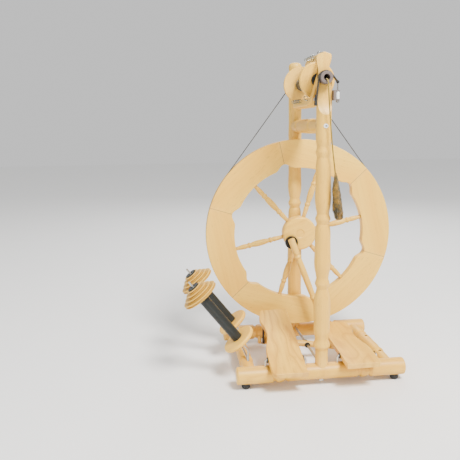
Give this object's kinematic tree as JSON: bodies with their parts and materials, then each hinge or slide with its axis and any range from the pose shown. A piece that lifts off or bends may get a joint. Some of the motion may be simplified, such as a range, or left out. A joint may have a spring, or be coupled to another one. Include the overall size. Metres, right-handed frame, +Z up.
{
  "type": "spinning wheel",
  "caption": "Upright treadle spinning wheel in turned pale wood with a spoked drive wheel, flyer, cord drive, paired treadles and a wire kate with spare bobbins.",
  "frame": {"origin": "on the floor, under the middle of the whole wheel's outline", "axes": "+Z up, +Y from the front rail and orifice to the rear rail, +X to the spinner's right as seen from the front"},
  "size_m": [0.5667, 0.3561, 0.7721],
  "materials": {
    "beech_wood": "oiled beech, fine straight grain",
    "black_plastic": "satin moulded plastic",
    "grey_plastic": "satin moulded plastic",
    "white_plastic": "gloss",
    "steel": "zinc plated",
    "black_rubber": "matt",
    "black_leather": "matt strap",
    "drive_cord": "braided cord",
    "mustard_yarn": "spun wool",
    "olive_yarn": "spun wool, wound",
    "fibre": "carded wool"
  },
  "bodies": {
    "frame": {"front_rail": "beech_wood", "rear_rail": "beech_wood", "left_side_rail": "beech_wood", "right_side_rail": "beech_wood", "rubber_feet": "black_rubber", "frame_bolts": "steel", "bolt_caps": "white_plastic", "front_post": "beech_wood", "rear_post": "beech_wood", "post_stretcher": "beech_wood", "rocker_axle": "steel", "treadle_brackets": "steel", "treadle_bushes": "black_plastic", "wheel_axle": "steel", "axle_nut": "steel", "flyer_bearings": "grey_plastic", "brake_strap": "black_leather", "strap_screw": "steel", "brake_rod": "steel", "brake_bracket": "steel", "kate_wire": "steel", "drive_cord": "drive_cord", "yarn": "mustard_yarn", "fibre_tuft": "fibre"},
    "drive_wheel": {"rim_segment_1": "beech_wood", "rim_segment_2": "beech_wood", "rim_segment_3": "beech_wood", "rim_segment_4": "beech_wood", "rim_segment_5": "beech_wood", "rim_segment_6": "beech_wood", "spokes": "beech_wood", "wheel_hub": "beech_wood", "wheel_bearings": "steel", "crank_pin": "steel", "crank_bearing": "black_plastic"},
    "rocker": {"rocker_bar": "beech_wood", "rocker_bushes": "black_plastic"},
    "treadle_left": {"left_treadle": "beech_wood", "left_link_pin": "steel"},
    "treadle_right": {"right_treadle": "beech_wood", "right_link_pin": "steel", "footman_bracket": "steel"},
    "link_left": {"left_link": "black_leather"},
    "link_right": {"right_link": "black_leather"},
    "footman_rod": {"footman": "beech_wood", "footman_connector": "black_plastic"},
    "flyer": {"flyer_frame": "beech_wood", "flyer_hooks": "steel", "flyer_shaft": "steel", "orifice_sleeve": "grey_plastic", "leader_yarn": "mustard_yarn"},
    "bobbin": {"bobbin_core": "black_plastic", "bobbin_disc": "beech_wood", "bobbin_whorl": "beech_wood", "wound_yarn": "olive_yarn"},
    "spare_bobbin_1": {"spare_bobbin_1_core": "black_plastic", "spare_bobbin_1_wood": "beech_wood"},
    "spare_bobbin_2": {"spare_bobbin_2_core": "black_plastic", "spare_bobbin_2_wood": "beech_wood"},
    "tension_knob": {"brake_knob": "white_plastic"}
  },
  "joints": [
    {"name": "wheel_spin", "type": "hinge", "parent": "frame", "child": "drive_wheel", "pos_m": [0.033, 0.1051, 0.3196], "axis": [0, 1, 0], "continuous": true},
    {"name": "bobbin_spin", "type": "hinge", "parent": "frame", "child": "bobbin", "pos_m": [0.033, -0.0609, 0.708], "axis": [0, 1, 0], "continuous": true},
    {"name": "flyer_spin", "type": "hinge", "parent": "frame", "child": "flyer", "pos_m": [0.033, -0.0909, 0.708], "axis": [0, 1, 0], "continuous": true},
    {"name": "right_treadle_swing", "type": "hinge", "parent": "frame", "child": "treadle_right", "pos_m": [0.119, -0.1209, 0.065], "axis": [1, 0, 0], "range_deg": [-3, 17.6]},
    {"name": "left_treadle_swing", "type": "hinge", "parent": "frame", "child": "treadle_left", "pos_m": [-0.053, -0.1209, 0.065], "axis": [1, 0, 0], "range_deg": [-17.6, 3]},
    {"name": "rocker_tilt", "type": "hinge", "parent": "frame", "child": "rocker", "pos_m": [0.033, 0.0161, 0.0429], "axis": [0, 1, 0], "range_deg": [-20.1, 3.5]},
    {"name": "left_link_swing", "type": "hinge", "parent": "treadle_left", "child": "link_left", "pos_m": [-0.082, 0.00867, 0.10292], "axis": [1, 0, 0], "range_deg": [-3, 17.6]},
    {"name": "right_link_swing", "type": "hinge", "parent": "treadle_right", "child": "link_right", "pos_m": [0.148, 0.01401, 0.07021], "axis": [1, 0, 0], "range_deg": [-17.6, 3]},
    {"name": "footman_swing", "type": "hinge", "parent": "treadle_right", "child": "footman_rod", "pos_m": [0.0865, 0.05818, 0.08793], "axis": [1, 0, 0], "range_deg": [-17.6, 3]},
    {"name": "spare_bobbin_1_spin", "type": "hinge", "parent": "frame", "child": "spare_bobbin_1", "pos_m": [-0.155, -0.0629, 0.097], "axis": [-0.6225, 0, 0.7826], "continuous": true},
    {"name": "spare_bobbin_2_spin", "type": "hinge", "parent": "frame", "child": "spare_bobbin_2", "pos_m": [-0.155, 0.0571, 0.097], "axis": [-0.6225, 0, 0.7826], "continuous": true},
    {"name": "tension_knob_turn", "type": "hinge", "parent": "frame", "child": "tension_knob", "pos_m": [0.0605, -0.1309, 0.67], "axis": [0, 0, 1], "range_deg": [-720, 720]}
  ],
  "couplings": [
    {"joint": "bobbin_spin", "follows": "wheel_spin", "ratio": 13.844},
    {"joint": "left_treadle_swing", "follows": "right_treadle_swing", "ratio": -1},
    {"joint": "rocker_tilt", "follows": "right_treadle_swing", "ratio": -1.14},
    {"joint": "left_link_swing", "follows": "right_treadle_swing", "ratio": 1},
    {"joint": "right_link_swing", "follows": "right_treadle_swing", "ratio": -1},
    {"joint": "footman_swing", "follows": "right_treadle_swing", "ratio": -1}
  ]
}
